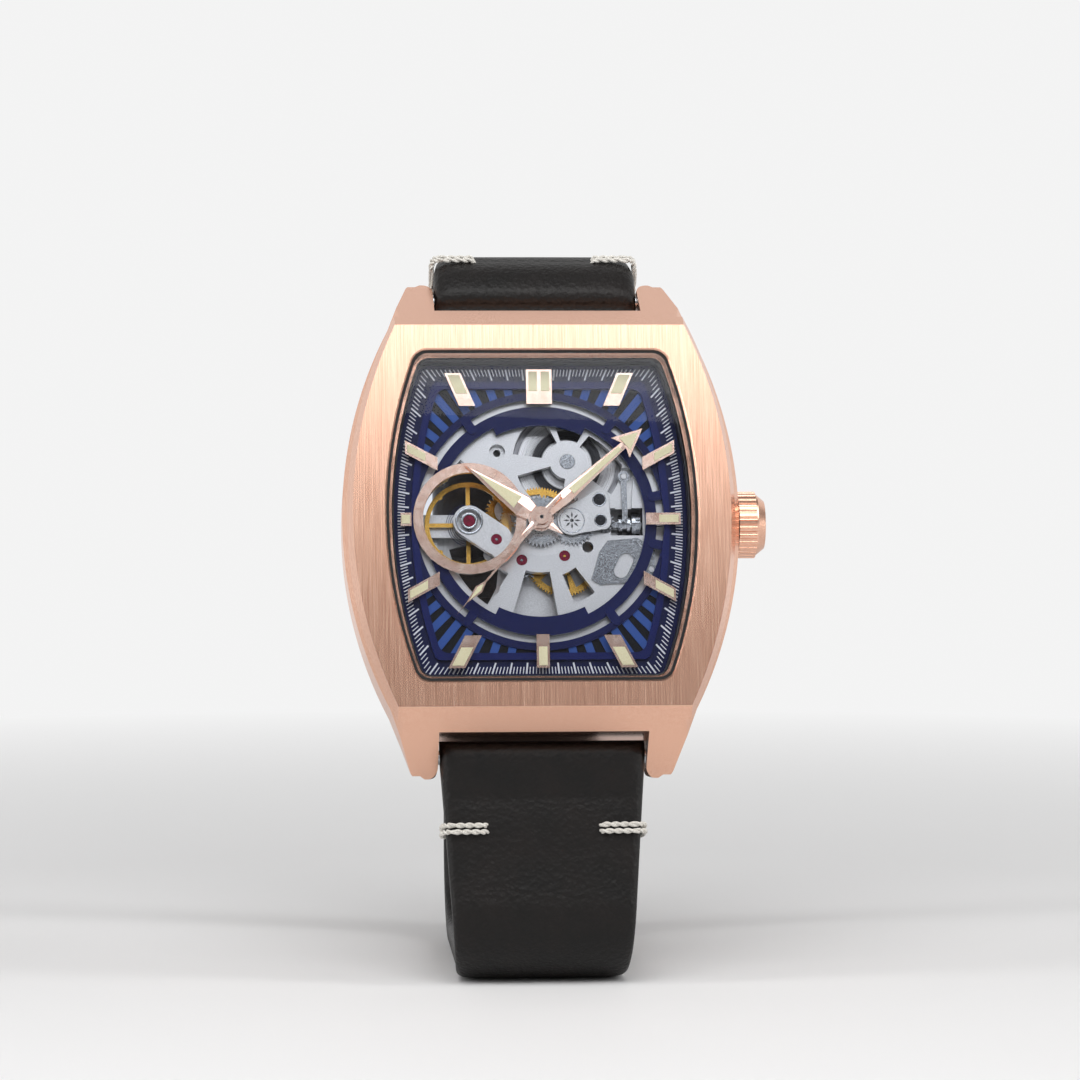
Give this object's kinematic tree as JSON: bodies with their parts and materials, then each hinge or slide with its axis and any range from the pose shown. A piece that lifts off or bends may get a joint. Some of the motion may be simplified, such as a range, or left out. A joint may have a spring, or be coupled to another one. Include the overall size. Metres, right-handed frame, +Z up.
{
  "type": "skeleton wristwatch",
  "caption": "Barrel-shaped skeleton wristwatch on a leather strap buckled into a standing loop, with openworked dial, visible gear train, fluted crown and hour, minute and seconds hands.",
  "frame": {"origin": "middle of the flat under the strap loop, on the surface the watch stands on", "axes": "+X towards 3 o'clock, +Y to the back, +Z up; the dial faces -Y and leans back 14 degrees"},
  "size_m": [0.0455, 0.0459, 0.0772],
  "materials": {
    "rose_gold_case": "vertically brushed, rose-gold plated steel",
    "rose_gold_polished": "polished, rose-gold plated",
    "rose_gold_hand": "polished facets, rose-gold plated, cream lume filling",
    "blue_dial": "satin blue lacquer",
    "nickel_plate": "nickel plated, fine grained",
    "gilt_brass": "gilt, circular grained",
    "polished_steel": "polished and lightly grained",
    "spring_steel": "blued and tempered",
    "ruby": "polished synthetic ruby",
    "crystal_glass": "clear, polished",
    "black_rubber": "moulded",
    "casing_metal": "turned, nickel plated",
    "strap_leather": "dark brown-black grained leather with white double stitches"
  },
  "bodies": {
    "case": {"case_middle": "rose_gold_case", "bezel": "rose_gold_case", "crystal": "crystal_glass", "crystal_gasket": "black_rubber", "case_back": "rose_gold_case", "case_back_glass": "crystal_glass", "case_back_gasket": "black_rubber", "case_back_screws": "rose_gold_case", "movement_ring": "casing_metal", "crown_tube": "polished_steel", "spring_bars": "polished_steel", "dial_frame": "blue_dial", "balance_ring": "rose_gold_polished", "hour_markers": "rose_gold_hand", "main_plate": "nickel_plate", "jewels": "ruby", "barrel_bridge": "nickel_plate", "train_bridge": "nickel_plate", "balance_cock": "nickel_plate", "pallet_cock": "nickel_plate", "movement_screws": "polished_steel", "setting_lever_jumper": "polished_steel", "hairspring": "spring_steel", "strap_upper": "strap_leather", "strap_lower": "strap_leather", "buckle_frame": "rose_gold_case", "buckle_pin": "polished_steel", "fixed_keeper": "strap_leather"},
    "seconds": {"fourth_wheel": "gilt_brass", "seconds_hand": "rose_gold_hand"},
    "third": {"third_wheel": "gilt_brass"},
    "centre": {"centre_wheel": "gilt_brass"},
    "barrel": {"barrel": "gilt_brass", "mainspring": "spring_steel"},
    "escape": {"escape_wheel": "polished_steel"},
    "minutes": {"cannon_pinion": "polished_steel", "minute_hand": "rose_gold_hand"},
    "hours": {"hour_wheel": "gilt_brass", "hour_hand": "rose_gold_hand"},
    "minute_work": {"minute_wheel": "gilt_brass"},
    "setting": {"setting_wheel": "polished_steel"},
    "pallet": {"pallet_fork": "polished_steel"},
    "balance": {"balance_wheel": "gilt_brass", "balance_staff": "polished_steel"},
    "winding": {"winding_pinion": "polished_steel"},
    "crown": {"crown": "rose_gold_case", "stem": "polished_steel"},
    "clutch": {"clutch": "polished_steel"},
    "crown_wheel": {"crown_wheel": "polished_steel"},
    "ratchet": {"ratchet_wheel": "polished_steel", "barrel_arbor": "polished_steel"},
    "click": {"click": "polished_steel"},
    "setting_lever": {"setting_lever": "polished_steel"},
    "yoke": {"yoke": "polished_steel"},
    "rotor": {"rotor": "polished_steel"},
    "reverser": {"reverser_wheel": "gilt_brass"},
    "pins_left": {"spring_bar_pins_left": "polished_steel"},
    "pins_right": {"spring_bar_pins_right": "polished_steel"},
    "tongue": {"buckle_tongue": "rose_gold_case"},
    "sliding_keeper": {"sliding_keeper": "strap_leather"}
  },
  "joints": [
    {"name": "seconds_spin", "type": "hinge", "parent": "case", "child": "seconds", "pos_m": [0, -0.00864, 0.04852], "axis": [0, -0.9703, 0.2419], "continuous": true},
    {"name": "third_spin", "type": "hinge", "parent": "case", "child": "third", "pos_m": [0.00259, -0.00953, 0.04494], "axis": [0, -0.9703, 0.2419], "continuous": true},
    {"name": "centre_spin", "type": "hinge", "parent": "case", "child": "centre", "pos_m": [0, -0.00864, 0.04852], "axis": [0, -0.9703, 0.2419], "continuous": true},
    {"name": "barrel_spin", "type": "hinge", "parent": "case", "child": "barrel", "pos_m": [0.00305, -0.00704, 0.05495], "axis": [0, -0.9703, 0.2419], "continuous": true},
    {"name": "escape_spin", "type": "hinge", "parent": "case", "child": "escape", "pos_m": [-0.00202, -0.00964, 0.0445], "axis": [0, -0.9703, 0.2419], "continuous": true},
    {"name": "minute_hand_spin", "type": "hinge", "parent": "case", "child": "minutes", "pos_m": [0, -0.00864, 0.04852], "axis": [0, -0.9703, 0.2419], "continuous": true},
    {"name": "hour_hand_spin", "type": "hinge", "parent": "case", "child": "hours", "pos_m": [0, -0.00864, 0.04852], "axis": [0, -0.9703, 0.2419], "continuous": true},
    {"name": "minute_wheel_spin", "type": "hinge", "parent": "case", "child": "minute_work", "pos_m": [0.00337, -0.00864, 0.04852], "axis": [0, -0.9703, 0.2419], "continuous": true},
    {"name": "setting_wheel_spin", "type": "hinge", "parent": "case", "child": "setting", "pos_m": [0.00689, -0.00864, 0.04852], "axis": [0, -0.9703, 0.2419], "continuous": true},
    {"name": "pallet_rock", "type": "hinge", "parent": "case", "child": "pallet", "pos_m": [-0.0047, -0.00909, 0.04672], "axis": [0, -0.9703, 0.2419], "range_deg": [-4, 4]},
    {"name": "balance_swing", "type": "hinge", "parent": "case", "child": "balance", "pos_m": [-0.0076, -0.0086, 0.04866], "axis": [0, -0.9703, 0.2419], "range_deg": [-270, 270], "stiffness_Nm_per_rad": 0.0000007},
    {"name": "crown_spin", "type": "hinge", "parent": "case", "child": "winding", "pos_m": [0.0104, -0.00864, 0.04852], "axis": [1, 0, 0], "continuous": true},
    {"name": "crown_pull", "type": "slide", "parent": "winding", "child": "crown", "axis": [1, 0, 0], "range_m": [0, 0.001]},
    {"name": "clutch_shift", "type": "slide", "parent": "winding", "child": "clutch", "axis": [1, 0, 0], "range_m": [-0.0006, 0]},
    {"name": "crown_wheel_spin", "type": "hinge", "parent": "case", "child": "crown_wheel", "pos_m": [0.0079, -0.00864, 0.04852], "axis": [0, -0.9703, 0.2419], "continuous": true},
    {"name": "ratchet_spin", "type": "hinge", "parent": "case", "child": "ratchet", "pos_m": [0.00305, -0.00704, 0.05495], "axis": [0, -0.9703, 0.2419], "continuous": true},
    {"name": "click_lift", "type": "hinge", "parent": "case", "child": "click", "pos_m": [-0.0039, -0.00663, 0.05657], "axis": [0, -0.9703, 0.2419], "range_deg": [0, 8], "stiffness_Nm_per_rad": 0.00001},
    {"name": "setting_lever_rock", "type": "hinge", "parent": "case", "child": "setting_lever", "pos_m": [0.0119, -0.0099, 0.04347], "axis": [0, -0.9703, 0.2419], "range_deg": [-11.03, 0]},
    {"name": "yoke_rock", "type": "hinge", "parent": "case", "child": "yoke", "pos_m": [0.0091, -0.00743, 0.05337], "axis": [0, -0.9703, 0.2419], "range_deg": [-7.25, 0]},
    {"name": "rotor_spin", "type": "hinge", "parent": "case", "child": "rotor", "pos_m": [0, -0.00864, 0.04852], "axis": [0, -0.9703, 0.2419], "continuous": true},
    {"name": "reverser_spin", "type": "hinge", "parent": "case", "child": "reverser", "pos_m": [-0.00338, -0.00817, 0.05041], "axis": [0, -0.9703, 0.2419], "continuous": true},
    {"name": "left_pins_press", "type": "slide", "parent": "case", "child": "pins_left", "axis": [1, 0, 0], "range_m": [0, 0.0013], "stiffness_N_per_m": 300},
    {"name": "right_pins_press", "type": "slide", "parent": "case", "child": "pins_right", "axis": [-1, 0, 0], "range_m": [0, 0.0013], "stiffness_N_per_m": 300},
    {"name": "tongue_lift", "type": "hinge", "parent": "case", "child": "tongue", "pos_m": [0, 0.01885, 0.036], "axis": [1, 0, 0], "range_deg": [0, 8]},
    {"name": "keeper_slide", "type": "slide", "parent": "case", "child": "sliding_keeper", "axis": [0, 0, 1], "range_m": [-0.003, 0.006]}
  ],
  "couplings": [
    {"joint": "third_spin", "follows": "seconds_spin", "ratio": -0.13333},
    {"joint": "centre_spin", "follows": "seconds_spin", "ratio": 0.016667},
    {"joint": "barrel_spin", "follows": "seconds_spin", "ratio": -0.0027778},
    {"joint": "escape_spin", "follows": "seconds_spin", "ratio": -9},
    {"joint": "minute_wheel_spin", "follows": "minute_hand_spin", "ratio": -0.33333},
    {"joint": "hour_hand_spin", "follows": "minute_hand_spin", "ratio": 0.083333},
    {"joint": "setting_wheel_spin", "follows": "minute_hand_spin", "ratio": 0.85714},
    {"joint": "crown_wheel_spin", "follows": "crown_spin", "ratio": 0.66667},
    {"joint": "ratchet_spin", "follows": "crown_spin", "ratio": -0.27586},
    {"joint": "clutch_shift", "follows": "crown_pull", "ratio": -0.6},
    {"joint": "setting_lever_rock", "follows": "crown_pull", "rad_per_m": -192.31},
    {"joint": "yoke_rock", "follows": "crown_pull", "rad_per_m": -126.32},
    {"joint": "reverser_spin", "follows": "rotor_spin", "ratio": -0.85714}
  ]
}
